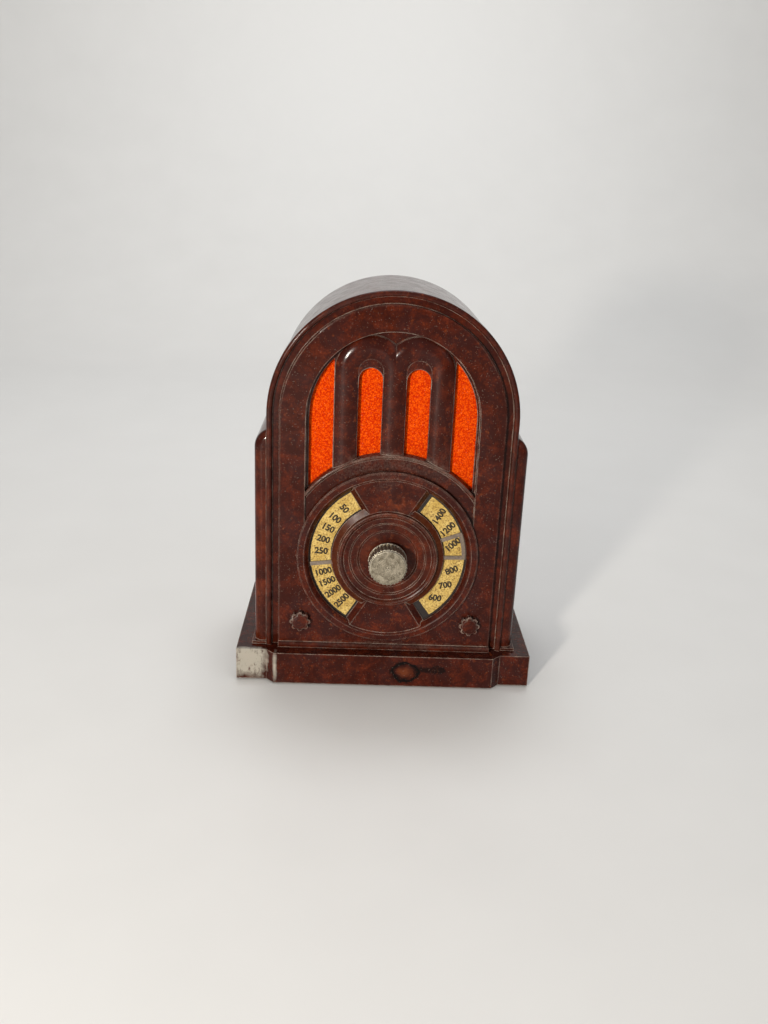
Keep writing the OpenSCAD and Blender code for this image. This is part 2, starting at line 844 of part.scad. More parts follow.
// Bulb with a waist in the base and a domed top
module valve_bulb(h) {
    r = 14.6;
    wall_t = 0.8;
    color([0.8, 0.86, 0.86, 0.35]) difference() {
        union() {
            translate([0, 0, 4.2]) cylinder(r = 12.4, h = 18);
            translate([0, 0, 20.3]) cylinder(r = r, h = h - 20.3 - r);
            translate([0, 0, h - r]) sphere(r);
        }
        translate([0, 0, 5]) cylinder(r = 12.4 - wall_t, h = 18);
        translate([0, 0, 21.1]) cylinder(r = r - wall_t, h = h - 21.1 - r);
        translate([0, 0, h - r]) sphere(r - wall_t);
    }
}

module output_valve_base() {
    place(valve_x, valve_depth, chassis_top) valve_base();
}

module output_valve_glass() {
    place(valve_x, valve_depth, chassis_top) valve_bulb(86);
}

module detector_valve_base() {
    place(-valve_x, valve_depth, chassis_top) valve_base();
}

module detector_valve_glass() {
    place(-valve_x, valve_depth, chassis_top) valve_bulb(78);
}

module valve_electrodes() {
    color([0.3, 0.3, 0.32]) at_valves() {
        translate([0, 0, 30]) difference() {
            cylinder(r = 8, h = 30);
            translate([0, 0, -1]) cylinder(r = 7.4, h = 32);
        }
        translate([0, 0, 29]) cylinder(r = 10, h = 1);
        translate([0, 0, 60]) cylinder(r = 10, h = 1);
        translate([0, 0, 29]) cylinder(r = 1.2, h = 32);
        for (a = [45 : 90 : 315]) rotate(a) translate([9, 0, 5.1]) cylinder(r = 0.5, h = 24.5);
    }
}

module transformer_core() {
    color([0.25, 0.24, 0.24]) slab(59, 71) difference() {
        translate([-15, chassis_top]) square([30, 26]);
        for (s = [-1, 1]) translate([s * 7.25 - 2.75, chassis_top + 6]) square([5.5, 14]);
    }
}

module transformer_winding() {
    color([0.6, 0.5, 0.25]) difference() {
        block(-9.8, 9.8, 54, 76, chassis_top + 6.1, chassis_top + 19.9);
        block(-15.2, -9.9, 58.95, 71.05, 50, 90);
        block(9.9, 15.2, 58.95, 71.05, 50, 90);
        block(-4.6, 4.6, 58.95, 71.05, 50, 90);
    }
}

module smoothing_capacitor() {
    color([0.7, 0.7, 0.68]) place(-44, 30, chassis_top) {
        cylinder(r = 9, h = 36);
        translate([0, 0, 36]) cylinder(r1 = 8.6, r2 = 7.6, h = 1.2);
    }
}

module aerial_coil_former() {
    color([0.75, 0.6, 0.4]) place(-23, 40, chassis_top) difference() {
        union() {
            cylinder(r = 6.5, h = 38);
            cylinder(r = 8.5, h = 1.5);
        }
        translate([0, 0, -1]) cylinder(r = 5.5, h = 41);
    }
}

module aerial_coil_winding() {
    color([0.35, 0.5, 0.25]) place(-23, 40, chassis_top) for (z = [8, 20, 27]) difference() {
        translate([0, 0, z]) cylinder(r = 8, h = z == 8 ? 9 : 4);
        translate([0, 0, z - 1]) cylinder(r = 6.55, h = 11);
    }
}

module mains_dropper() {
    color([0.72, 0.68, 0.6]) place(50, 32, chassis_top) {
        difference() {
            cylinder(r = 5, h = 42);
            translate([0, 0, -1]) cylinder(r = 3, h = 44);
        }
        for (z = [6, 35]) difference() {
            translate([0, 0, z]) cylinder(r = 5.6, h = 2.5);
            translate([0, 0, z - 1]) cylinder(r = 4.9, h = 5);
        }
    }
}

lead_z = 45;
lead_depths = [30, 37, 44, 51, 58];

module tag_strips() {
    color(paxolin) for (x = [-18, 14]) difference() {
        block(x, x + 1.6, 27, 61, 41, chassis_top - sheet);
        for (d = lead_depths) place(x - 1, d, lead_z) rotate([0, 90, 0]) cylinder(r = 0.6, h = 4);
    }
}

// A small part carried on its own two leads between the tag strips
module leaded_part(d, r, length) {
    place(-17.8, d, lead_z) rotate([0, 90, 0]) cylinder(r = 0.5, h = 33.2);
    place(-0.4 - length / 2, d, lead_z) rotate([0, 90, 0]) cylinder(r = r, h = length);
}

module resistors() {
    color([0.6, 0.35, 0.2]) for (i = [0, 2, 4]) leaded_part(lead_depths[i], 2, 11);
}

module paper_capacitors() {
    color([0.8, 0.7, 0.45]) for (i = [1, 3]) leaded_part(lead_depths[i], 4, 19);
}

module socket_strip() {
    color(paxolin) difference() {
        block(28, 52, chassis_back, chassis_back + 1.6, 30, 42);
        for (x = [34, 46]) rod(3.25, x, 36, chassis_back - 1, chassis_back + 3);
    }
}

module aerial_earth_sockets() {
    color(brass) for (x = [34, 46]) difference() {
        union() {
            rod(3.2, x, 36, chassis_back - 6, chassis_back + 2);
            rod(4.2, x, 36, chassis_back + 1.6, chassis_back + 3);
        }
        rod(2, x, 36, chassis_back - 7, chassis_back + 4);
    }
}

module cord_grommet() {
    color([0.06, 0.06, 0.06]) lathe(-44, 34) polygon([
        [3.6, cover_front - 1.3], [6.9, cover_front - 1.3], [7.5, cover_front - 0.05],
        [5.95, cover_front - 0.05],
        [5.95, cover_back + 0.05], [7.5, cover_back + 0.05], [6.9, cover_back + 1.4], [3.6, cover_back + 1.4]
    ]);
}

cabinet();
front_frame();
dial_escutcheon();
scale_plate();
left_scale();
right_scale();
dial_screws();
dial_cursor();
tuning_knob();
tuning_spindle();
spindle_gear();
spindle_bush();
spindle_bracket();
capacitor_gear();
capacitor_rotor();
capacitor_stator();
capacitor_frame();
volume_knob();
volume_shaft();
volume_control();
band_knob();
band_shaft();
band_switch();
control_nuts();
grille_cloth();
baffle_board();
speaker_gasket();
speaker_basket();
speaker_magnet();
speaker_cone();
voice_coil();
chassis();
chassis_screws();
valve_holders();
output_valve_base();
output_valve_glass();
detector_valve_base();
detector_valve_glass();
valve_electrodes();
transformer_core();
transformer_winding();
smoothing_capacitor();
aerial_coil_former();
aerial_coil_winding();
mains_dropper();
tag_strips();
resistors();
paper_capacitors();
socket_strip();
aerial_earth_sockets();
cord_grommet();
back_cover();
back_screws();
frame_screws();
rubber_feet();
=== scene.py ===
import json
import math

import bmesh
import bpy
from mathutils import Matrix, Vector, noise


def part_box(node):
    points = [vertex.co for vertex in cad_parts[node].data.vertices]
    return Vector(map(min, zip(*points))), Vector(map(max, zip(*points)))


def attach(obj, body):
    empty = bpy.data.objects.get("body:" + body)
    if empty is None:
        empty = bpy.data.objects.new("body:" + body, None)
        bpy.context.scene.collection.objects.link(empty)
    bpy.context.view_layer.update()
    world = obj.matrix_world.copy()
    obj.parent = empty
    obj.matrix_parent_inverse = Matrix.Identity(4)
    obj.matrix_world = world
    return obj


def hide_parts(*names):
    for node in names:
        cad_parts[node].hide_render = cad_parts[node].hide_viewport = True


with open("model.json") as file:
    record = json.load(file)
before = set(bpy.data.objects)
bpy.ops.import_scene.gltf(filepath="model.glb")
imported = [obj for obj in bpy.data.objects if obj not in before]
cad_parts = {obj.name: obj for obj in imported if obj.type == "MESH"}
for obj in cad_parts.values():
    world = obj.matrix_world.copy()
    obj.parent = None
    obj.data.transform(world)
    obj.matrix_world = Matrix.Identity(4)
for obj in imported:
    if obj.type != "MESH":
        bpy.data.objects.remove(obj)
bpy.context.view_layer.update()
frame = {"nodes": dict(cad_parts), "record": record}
MM = 0.001

# ---- places and sizes ----------------------------------------------------------------------------
# The part stands on z = 0 with its middle at x = 0 and its front towards -y.

plate_low, plate_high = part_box("scale_plate")
DIAL = (plate_low + plate_high) / 2
PAPER_OUTER = DIAL.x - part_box("left_scale")[0].x
PAPER_INNER = 31.2 * MM       # radius of the paper scales' inner edge
PAPER_THICKNESS = 0.06 * MM
PRINT_HEIGHT = 4.9 * MM
PRINT_LIFT = 0.16 * MM        # the print stands clear of the paper's curls
cloth_low, cloth_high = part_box("grille_cloth")
CLOTH_FOOT = 50.6 * MM        # radius of the cloth's lower edge, round the dial
knob_low, knob_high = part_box("tuning_knob")
KNOB = (knob_low + knob_high) / 2

# Marks on the case: middle and reach (x, y, z) in mm on the part, and how ragged the limit is
CASE_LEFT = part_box("cabinet")[0].x / MM
DIAL_HEIGHT = DIAL.z / MM
LEFT_WING = (CASE_LEFT + 8.5, -30, 75), (9, 12, 62), 0.6
BOSS = (0, -42, DIAL_HEIGHT), (27, 9, 27), 0.4
UPPER_BRIDGE = (5, -38, DIAL_HEIGHT + 29.5), (12, 5, 8), 0.8
PLINTH_EYE = (12.3, -46, 9.6), (9.0, 9, 7.0), 0.13
EYE_TRAIL = (27, -46, 11.4), (13, 9, 2.6), 0.5
OVER_DIAL = (0, -35.5, DIAL_HEIGHT + 51.5), (50, 9, 20), 0.4
HOOD_TOP = (0, -35.5, DIAL_HEIGHT + 49.5), (50, 9, 12), 0.5
STEP_UNDER_FACE = (0, -36, 21.6), (78, 3.4, 2.6), 0.3
LEFT_BLOCK = (CASE_LEFT + 7, -42, 13.5), (12, 4, 15), 0.22
BLOCK_STREAK = (CASE_LEFT + 21.9, -46, 10.5), (1.5, 8, 12), 0.2
HANDLED = (0, -38, DIAL_HEIGHT), (60, 20, 60), 0.1

# Rings round the dial's axis, in mm: where each starts, is full from, is full to and stops
BOSS_SKIRT = 26.2, 27.2, 31.2, 31.6
HOOD_FOOT = 55.5, 58.0, 59.0, 61.5
# The bridges cross the skirt: its mask is 0 and 1 at these distances sideways from the axis, in mm
BESIDE_BRIDGES = 12.5, 14.5


# ---- camera, floor and light ---------------------------------------------------------------------

def add_object(name, data):
    added = bpy.data.objects.new(name, data)
    bpy.context.scene.collection.objects.link(added)
    return added


def make_camera():
    place = (-0.0169, -0.5203, 0.2716)
    heading, pitch, roll = (math.radians(a) for a in (1.653, 19.415, 2.436))
    forward = Vector((
        math.sin(heading) * math.cos(pitch), math.cos(heading) * math.cos(pitch), -math.sin(pitch),
    ))
    level = Vector((math.cos(heading), -math.sin(heading), 0))
    upright = level.cross(forward)
    right = level * math.cos(roll) + upright * math.sin(roll)
    up = upright * math.cos(roll) - level * math.sin(roll)
    data = bpy.data.cameras.new("camera")
    data.lens, data.sensor_width = 33.54, 36.0
    data.clip_start, data.clip_end = 0.02, 50
    camera = add_object("camera", data)
    turn = Matrix((right, up, -forward)).transposed().to_4x4()
    camera.matrix_world = Matrix.Translation(place) @ turn
    bpy.context.scene.camera = camera


def area_light(name, place, target, width, watts, colour):
    data = bpy.data.lights.new(name, "AREA")
    data.shape = "DISK"
    data.size, data.energy, data.color = width, watts, colour
    light = add_object(name, data)
    light.location = place
    light.rotation_euler = (Vector(target) - Vector(place)).to_track_quat("-Z", "Y").to_euler()


def make_studio():
    middle, floor_behind, wall = (0, 0, 0.11), (0, 0.3, 0), (0, 1.5, 0.35)
    area_light("key", (-0.46, -0.98, 0.30), middle, 0.10, 12, (1.0, 0.94, 0.85))
    area_light("fill", (0.9, -0.7, 0.7), middle, 0.9, 1.0, (0.93, 0.96, 1.0))
    area_light("top", (0.0, 0.2, 1.5), floor_behind, 1.0, 8, (0.98, 0.98, 1.0))
    area_light("backdrop", (0.0, 0.5, 1.5), wall, 0.8, 10, (0.96, 0.98, 1.0))
    world = bpy.data.worlds.new("studio")
    world.use_nodes = True
    background = world.node_tree.nodes["Background"]
    background.inputs["Color"].default_value = (0.86, 0.87, 0.88, 1)
    background.inputs["Strength"].default_value = 0.34
    bpy.context.scene.world = world
    bpy.context.scene.view_settings.view_transform = "Standard"


# ---- materials -----------------------------------------------------------------------------------
# Colours are linear red, green and blue.

class Graph:
    """One material's nodes. Each method adds nodes and returns the last one's output socket."""

    def __init__(self, name):
        self.material = bpy.data.materials.new(name)
        self.material.use_nodes = True
        self.tree = self.material.node_tree
        self.tree.nodes.clear()
        self.coords = self.add("ShaderNodeTexCoord", out="Object")

    def add(self, kind, inputs=None, out=0, **settings):
        node = self.tree.nodes.new(kind)
        for key, value in settings.items():
            setattr(node, key, value)
        for key, value in (inputs or {}).items():
            if isinstance(value, bpy.types.NodeSocket):
                self.tree.links.new(value, node.inputs[key])
            else:
                node.inputs[key].default_value = value
        return node.outputs[out]

    def noise(self, size_mm, detail=3, roughness=0.55, stretch=(1, 1, 1), distortion=0.0):
        """Noise whose features are about size_mm across."""
        where = self.add("ShaderNodeMapping", {"Vector": self.coords, "Scale": stretch})
        return self.add("ShaderNodeTexNoise", {
            "Vector": where, "Scale": 1000 / size_mm, "Detail": detail, "Roughness": roughness,
            "Distortion": distortion,
        })

    def fit(self, value, low, high, to_low=0.0, to_high=1.0):
        """Spreads low to high over to_low to to_high and holds the ends."""
        return self.add("ShaderNodeMapRange", {
            "Value": value, "From Min": low, "From Max": high, "To Min": to_low, "To Max": to_high,
        })

    def band(self, value, start, full_from, full_to, stop):
        """1 from full_from to full_to, fading to 0 at start and at stop."""
        return self.times(self.fit(value, start, full_from), self.fit(value, stop, full_to))

    def combine(self, operation, a, b):
        return self.add("ShaderNodeMath", {0: a, 1: b}, operation=operation)

    def times(self, a, b):
        return self.combine("MULTIPLY", a, b)

    def plus(self, a, b):
        return self.combine("ADD", a, b)

    def larger(self, a, b):
        return self.combine("MAXIMUM", a, b)

    def blend(self, a, b, share_of_a):
        return self.plus(self.times(a, share_of_a), self.times(b, 1 - share_of_a))

    def mix(self, factor, a, b):
        def colour(c):
            return (*c, 1) if isinstance(c, tuple) else c
        return self.add(
            "ShaderNodeMix", {0: factor, 6: colour(a), 7: colour(b)}, out=2, data_type="RGBA",
        )

    def bump(self, height, depth_mm, strength=1.0, normal=None):
        inputs = {"Height": height, "Distance": depth_mm * MM, "Strength": strength}
        if normal:
            inputs["Normal"] = normal
        return self.add("ShaderNodeBump", inputs)

    def rounded(self, radius_mm):
        """The normal, turned near edges as if they were rounded."""
        return self.add("ShaderNodeBevel", {"Radius": radius_mm * MM}, samples=4)

    def edges(self, rounded):
        """1 on the edges that a rounded normal softens, 0 away from them."""
        flat, turned = 0.995, 0.86   # cosine of the angle between the rounded and the plain normal
        plain = self.add("ShaderNodeNewGeometry", out="Normal")
        same = self.add(
            "ShaderNodeVectorMath", {0: rounded, 1: plain}, out="Value", operation="DOT_PRODUCT",
        )
        return self.fit(same, flat, turned)

    def offset(self, place, scale):
        """The way from a place, with each of x, y and z scaled."""
        away = self.add("ShaderNodeVectorMath", {0: self.coords, 1: place}, operation="SUBTRACT")
        return self.add("ShaderNodeVectorMath", {0: away, 1: scale}, operation="MULTIPLY")

    def length(self, vector):
        return self.add("ShaderNodeVectorMath", {0: vector}, out="Value", operation="LENGTH")

    def near(self, place_mm, reach_mm, ragged):
        """1 at a place on the part, falling to 0 at reach_mm from it (x, y, z), with a ragged limit.

        The limit wanders in waves of about half the mean reach.
        """
        wave_mm = sum(reach_mm) / 6
        place = tuple(c * MM for c in place_mm)
        scale = tuple(1 / (r * MM) for r in reach_mm)
        away = self.length(self.offset(place, scale))
        wander = self.fit(self.noise(wave_mm), 0.3, 0.7, -ragged, ragged)
        return self.fit(self.plus(away, wander), 1.0, 0.0)

    def finish(self, **inputs):
        """Ends the graph in one shader, its inputs named with _ for a space. Returns the material."""
        named = {name.replace("_", " "): value for name, value in inputs.items()}
        output = self.tree.nodes.new("ShaderNodeOutputMaterial")
        shader = self.add("ShaderNodeBsdfPrincipled", named)
        self.tree.links.new(shader, output.inputs["Surface"])
        return self.material


# Scaled by this, the way from a point on an axis along y is the way across from that axis
ACROSS = (1, 0, 1)


def mottle(g, flecks):
    """The resin itself: brown clouds with grainy red patches and a few bright spots."""
    brown, dusky_brown = (0.030, 0.0046, 0.0020), (0.032, 0.0080, 0.0062)
    red, bright = (0.115, 0.0175, 0.0055), (0.22, 0.045, 0.010)
    spot_strength = 0.5
    clouds = g.noise(24, detail=4, roughness=0.6, distortion=0.8)
    blotches = g.noise(9, detail=6, roughness=0.70, distortion=0.4)
    grains = g.noise(1.1, detail=3, roughness=0.65)
    colour = g.mix(g.fit(clouds, 0.42, 0.64), brown, dusky_brown)
    patches = g.times(g.fit(blotches, 0.46, 0.72), g.fit(grains, 0.38, 0.62, 0.35, 1.0))
    colour = g.mix(patches, colour, red)
    spots = g.times(g.fit(flecks, 0.58, 0.74), g.fit(clouds, 0.40, 0.60))
    return g.mix(g.times(spots, spot_strength), colour, bright)


def flow_marks(g, colour, flecks):
    """Marks of the moulding: warmer left wing, boss and upper bridge, and a dark eye on the plinth."""
    warm, dark, pupil = (0.150, 0.030, 0.009), (0.0035, 0.0016, 0.0013), (0.125, 0.031, 0.011)
    warmed = g.larger(g.larger(g.near(*LEFT_WING), g.near(*BOSS)), g.near(*UPPER_BRIDGE))
    colour = g.mix(g.times(warmed, g.fit(flecks, 0.30, 0.66, 0.05, 0.75)), colour, warm)
    eye = g.near(*PLINTH_EYE)
    ring = g.band(eye, 0.0, 0.16, 0.26, 0.54)
    trail = g.fit(g.near(*EYE_TRAIL), 0.0, 0.5, 0.0, 0.8)
    colour = g.mix(g.larger(ring, trail), colour, dark)
    return g.mix(g.fit(eye, 0.42, 0.85, 0.0, 0.8), colour, pupil)


def boss_skirt(g, from_axis, radius):
    """1 on the boss's skirt where it lies beside the papers."""
    skirt = g.band(radius, *(r * MM for r in BOSS_SKIRT))
    sideways = g.add("ShaderNodeSeparateXYZ", {"Vector": from_axis}, out="X")
    distance = g.combine("ABSOLUTE", sideways, 0.0)
    return g.times(skirt, g.fit(distance, *(d * MM for d in BESIDE_BRIDGES)))


def lying_dust(g, radius):
    """Dust along the outer foot of the hood over the dial and on the step under the face."""
    thickest, on_hood = 0.32, 0.35
    grime = g.fit(g.noise(1.3, detail=4, roughness=0.7), 0.40, 0.62)
    foot = g.times(g.band(radius, *(r * MM for r in HOOD_FOOT)), g.near(*OVER_DIAL))
    hood = g.larger(foot, g.times(g.near(*HOOD_TOP), on_hood))
    lying = g.larger(g.near(*STEP_UNDER_FACE), hood)
    return g.times(g.times(lying, grime), thickest)


def bakelite():
    """The moulding of the case, front and dial, with its marks, its wear, its dust, a painted highlight on
    its edges and a painted reflection on the boss's skirt.
    """
    # the first colour is a painted reflection of the paper on the boss's skirt; the second is dust
    paper_reflection_tint, dusty = (0.068, 0.018, 0.006), (0.28, 0.21, 0.17)
    # the first colour is a painted highlight, partly wear, on the edges; the second is the pale patch on
    # the left block
    edge_highlight_and_wear_colour, patch_colour = (0.38, 0.295, 0.24), (0.37, 0.345, 0.29)
    patch_strength, most_pale = 1.9, 0.85
    dulled_by_dirt, dulled_by_hands = 0.4, 0.16
    g = Graph("bakelite")
    flecks = g.noise(2.6, detail=3, roughness=0.6)
    colour = flow_marks(g, mottle(g, flecks), flecks)
    # the skirt of the boss has a painted reflection of the paper beside it and has lost its gloss
    from_axis = g.offset(tuple(DIAL), ACROSS)
    radius = g.length(from_axis)
    skirt = boss_skirt(g, from_axis, radius)
    colour = g.mix(g.times(skirt, g.fit(flecks, 0.30, 0.66, 0.15, 0.9)), colour, paper_reflection_tint)
    dust = lying_dust(g, radius)
    speckle = g.fit(g.noise(0.7, detail=1, roughness=0.4), 0.70, 0.75, 0.0, 0.26)
    colour = g.mix(g.larger(speckle, dust), colour, dusty)
    # painted highlight along the edges, partly wear: the edges are made paler in patches
    edge_highlight_and_wear = g.times(g.edges(g.rounded(0.8)), g.fit(g.noise(5), 0.36, 0.62, 0.20, 0.90))
    colour = g.mix(edge_highlight_and_wear, colour, edge_highlight_and_wear_colour)
    # a pale grainy patch covers the front of the left block of the plinth, with a pale streak beside it
    streaky_grain = g.noise(1.3, detail=5, roughness=0.75, stretch=(1, 1, 0.4), distortion=0.4)
    pale_patch = g.times(g.near(*LEFT_BLOCK), g.fit(streaky_grain, 0.30, 0.49))
    pale = g.larger(g.times(pale_patch, patch_strength), g.near(*BLOCK_STREAK))
    colour = g.mix(g.combine("MINIMUM", pale, most_pale), colour, patch_colour)
    # the gloss is broken by dust, by the pale patch and where hands go round the dial
    roughness = g.fit(g.noise(7, detail=4, roughness=0.6), 0.3, 0.7, 0.10, 0.22)
    roughness = g.plus(roughness, g.times(g.larger(dust, pale_patch), dulled_by_dirt))
    roughness = g.plus(roughness, g.times(g.near(*HANDLED), dulled_by_hands))
    ripple = g.noise(1.6, detail=3, roughness=0.6)
    return g.finish(
        Base_Color=colour, Roughness=roughness, Specular_IOR_Level=g.fit(skirt, 0.0, 1.0, 0.14, 0.05),
        Normal=g.bump(ripple, depth_mm=0.05, strength=0.30, normal=g.rounded(0.45)),
    )


def turned_nickel():
    """Worn plate on a turned face: rings round the knob's axis, broken by tarnish."""
    tarnished, clean = (0.155, 0.128, 0.088), (0.44, 0.39, 0.30)
    pitted, polished = (0.085, 0.066, 0.045), (0.80, 0.76, 0.66)
    rings_per_metre = 2600.0
    g = Graph("nickel")
    radius = g.length(g.offset((KNOB.x, 0, KNOB.z), ACROSS))
    rings = g.add(
        "ShaderNodeTexNoise", {"W": radius, "Scale": rings_per_metre, "Detail": 2.0},
        noise_dimensions="1D",
    )
    tarnish = g.noise(2.6, detail=5, roughness=0.68, distortion=1.0)
    pits = g.noise(0.6, detail=3, roughness=0.65)
    colour = g.mix(g.fit(g.blend(tarnish, rings, 0.7), 0.38, 0.62), tarnished, clean)
    colour = g.mix(g.fit(pits, 0.54, 0.70, 0.0, 0.7), colour, pitted)
    normal = g.rounded(0.3)
    colour = g.mix(g.times(g.edges(normal), 0.7), colour, polished)
    relief = g.plus(g.times(rings, 0.4), pits)
    return g.finish(
        Base_Color=colour, Metallic=0.92, Roughness=g.fit(tarnish, 0.3, 0.7, 0.30, 0.50),
        Normal=g.bump(relief, depth_mm=0.05, strength=0.7, normal=normal),
    )


def clear_glass():
    clear, smeared = (0.93, 0.97, 0.97), (0.80, 0.86, 0.84)
    g = Graph("valve_glass")
    smear = g.noise(6)
    return g.finish(
        Base_Color=g.mix(g.fit(smear, 0.4, 0.7), clear, smeared),
        Roughness=g.fit(smear, 0.3, 0.7, 0.02, 0.12), Transmission_Weight=1.0, IOR=1.48,
    )


def cloth():
    """A tufted weave: tufts with bright middles and darker rims, and a few glints."""
    middle, rim = (0.78, 0.080, 0.0010), (0.46, 0.019, 0.0004)
    yellower, glinting = (0.86, 0.120, 0.004), (0.95, 0.36, 0.20)
    g = Graph("cloth")
    tufts = {"Vector": g.coords, "Scale": 1200.0}
    from_middle = g.add("ShaderNodeTexVoronoi", tufts, out="Distance")
    chance = g.add("ShaderNodeTexVoronoi", tufts, out="Color")
    shade = g.add("ShaderNodeSeparateColor", {"Color": chance})
    colour = g.mix(g.fit(from_middle, 0.15, 0.62), middle, rim)
    colour = g.mix(g.fit(shade, 0.55, 0.95, 0.0, 0.5), colour, yellower)
    glints = g.fit(g.noise(0.8, detail=1), 0.69, 0.73, 0.0, 0.35)
    colour = g.mix(glints, colour, glinting)
    return g.finish(
        Base_Color=colour, Roughness=0.95, Specular_IOR_Level=0.04,
        Normal=g.bump(from_middle, depth_mm=0.25, strength=0.8),
    )


def printed_paper():
    brown, buff = (0.48, 0.320, 0.078), (0.63, 0.460, 0.152)
    fibre, speck = (0.27, 0.155, 0.038), (0.15, 0.083, 0.025)
    g = Graph("paper")
    fibres = g.noise(1.0, detail=4, roughness=0.7)
    specks = g.noise(0.75, detail=2, roughness=0.5)
    stain = g.noise(6, detail=4, roughness=0.6)
    colour = g.mix(g.fit(stain, 0.35, 0.65), brown, buff)
    colour = g.mix(g.fit(fibres, 0.46, 0.60, 0.0, 0.8), colour, fibre)
    colour = g.mix(g.fit(specks, 0.57, 0.65, 0.0, 0.85), colour, speck)
    return g.finish(
        Base_Color=colour, Roughness=0.82, Specular_IOR_Level=0.3,
        Normal=g.bump(fibres, depth_mm=0.04, strength=0.8),
    )


def floor_finish():
    darker, lighter = (0.64, 0.63, 0.61), (0.68, 0.67, 0.65)
    g = Graph("floor")
    tone = g.noise(60)
    return g.finish(Base_Color=g.mix(tone, darker, lighter), Roughness=g.fit(tone, 0.3, 0.7, 0.55, 0.65))


def surface(name, light, dark, rough, metal=0.0, grain=2.0, relief=0.02, stretch=(1, 1, 1), edge=0.0):
    """Everyday finish: two tones in a grain, broken gloss, a fine relief and, if asked, edges made lighter
    by a painted highlight with some wear.
    """
    rough_spread, edge_highlight_share, brighter = 0.09, 0.35, 1.5
    g = Graph(name)
    grain_map = g.noise(grain, detail=4, roughness=0.6, stretch=stretch)
    stain = g.noise(grain * 8)
    colour = g.mix(g.fit(g.blend(grain_map, stain, 0.6), 0.36, 0.64), dark, light)
    normal = None
    if edge:
        normal = g.rounded(edge)
        # painted highlight with some wear: the edges are made lighter
        edge_highlight_and_wear_colour = tuple(min(1, c * brighter) for c in light)
        colour = g.mix(g.times(g.edges(normal), edge_highlight_share), colour, edge_highlight_and_wear_colour)
    return g.finish(
        Base_Color=colour, Metallic=metal,
        Roughness=g.fit(
            grain_map, 0.3, 0.7, max(0.02, rough - rough_spread), min(1, rough + rough_spread),
        ),
        Normal=g.bump(grain_map, relief, strength=0.6, normal=normal),
    )


# Grains drawn out along y, along z, and along x and z
LENGTHWISE, UPRIGHT, LAYERED = (1, 0.08, 1), (1, 1, 0.08), (0.05, 1, 0.05)

# The everyday finishes. grain, relief and edge are in mm.
FINISHES = {
    "dark_steel": dict(light=(0.016, 0.009, 0.007), dark=(0.008, 0.005, 0.004), rough=0.75, grain=1.5),
    "cursor": dict(light=(0.20, 0.155, 0.115), dark=(0.10, 0.072, 0.055), rough=0.50, grain=1.2, edge=0.2),
    "steel": dict(
        light=(0.60, 0.61, 0.62), dark=(0.42, 0.43, 0.44), rough=0.32, metal=1.0,
        grain=1.0, relief=0.01, stretch=LENGTHWISE,
    ),
    "chassis_steel": dict(
        light=(0.52, 0.52, 0.49), dark=(0.40, 0.40, 0.37), rough=0.5, metal=0.4, grain=3.0,
    ),
    "brass": dict(
        light=(0.74, 0.56, 0.26), dark=(0.50, 0.35, 0.15), rough=0.28, metal=1.0,
        grain=1.2, relief=0.01, stretch=LENGTHWISE,
    ),
    "aluminium": dict(
        light=(0.80, 0.80, 0.81), dark=(0.62, 0.62, 0.63), rough=0.35, metal=1.0,
        grain=0.8, relief=0.01, stretch=UPRIGHT,
    ),
    "magnet": dict(
        light=(0.22, 0.23, 0.25), dark=(0.12, 0.12, 0.13), rough=0.55, metal=0.8, grain=1.4, relief=0.04,
    ),
    "plywood": dict(
        light=(0.62, 0.44, 0.25), dark=(0.42, 0.27, 0.13), rough=0.65,
        grain=1.0, relief=0.04, stretch=UPRIGHT,
    ),
    "card": dict(
        light=(0.24, 0.145, 0.080), dark=(0.15, 0.085, 0.045), rough=0.78, grain=0.8, relief=0.06,
    ),
    "cork": dict(light=(0.50, 0.35, 0.20), dark=(0.28, 0.18, 0.09), rough=0.85, grain=1.1, relief=0.10),
    "cone_paper": dict(
        light=(0.065, 0.06, 0.055), dark=(0.03, 0.028, 0.026), rough=0.9, grain=0.7, relief=0.08,
    ),
    "winding": dict(
        light=(0.52, 0.24, 0.09), dark=(0.30, 0.12, 0.04), rough=0.30, metal=0.3,
        grain=0.5, relief=0.05, stretch=UPRIGHT,
    ),
    "paxolin": dict(light=(0.34, 0.18, 0.075), dark=(0.22, 0.11, 0.045), rough=0.40, grain=0.8),
    "black_plastic": dict(light=(0.035, 0.030, 0.028), dark=(0.018, 0.015, 0.014), rough=0.38),
    "electrode": dict(light=(0.10, 0.10, 0.11), dark=(0.05, 0.05, 0.055), rough=0.6, metal=0.6, grain=1.2),
    "laminations": dict(
        light=(0.10, 0.09, 0.09), dark=(0.035, 0.03, 0.03), rough=0.5, metal=0.5,
        grain=0.9, relief=0.10, stretch=LAYERED,
    ),
    "wax": dict(light=(0.74, 0.58, 0.30), dark=(0.52, 0.36, 0.15), rough=0.42, relief=0.03),
    "ceramic": dict(light=(0.66, 0.62, 0.54), dark=(0.50, 0.46, 0.38), rough=0.7, grain=1.0, relief=0.05),
    "resistor_body": dict(light=(0.40, 0.15, 0.07), dark=(0.24, 0.08, 0.04), rough=0.35),
    "rubber": dict(light=(0.04, 0.04, 0.04), dark=(0.02, 0.02, 0.02), rough=0.8, grain=0.9, relief=0.05),
    "ink": dict(
        light=(0.040, 0.026, 0.009), dark=(0.018, 0.012, 0.005), rough=0.7, grain=0.5, relief=0.01,
    ),
}


def make_materials():
    """Makes every material and gives each CAD node the one that its record names."""
    made = {name: surface(name, **finish) for name, finish in FINISHES.items()}
    made.update(
        bakelite=bakelite(), nickel=turned_nickel(), cloth=cloth(), paper=printed_paper(),
        valve_glass=clear_glass(),
    )
    for part in frame["record"]["subparts"]:
        mesh = frame["nodes"][part["node"]].data
        mesh.materials.clear()
        mesh.materials.append(made[part["material_slot"]])
    return made


# ---- pieces --------------------------------------------------------------------------------------

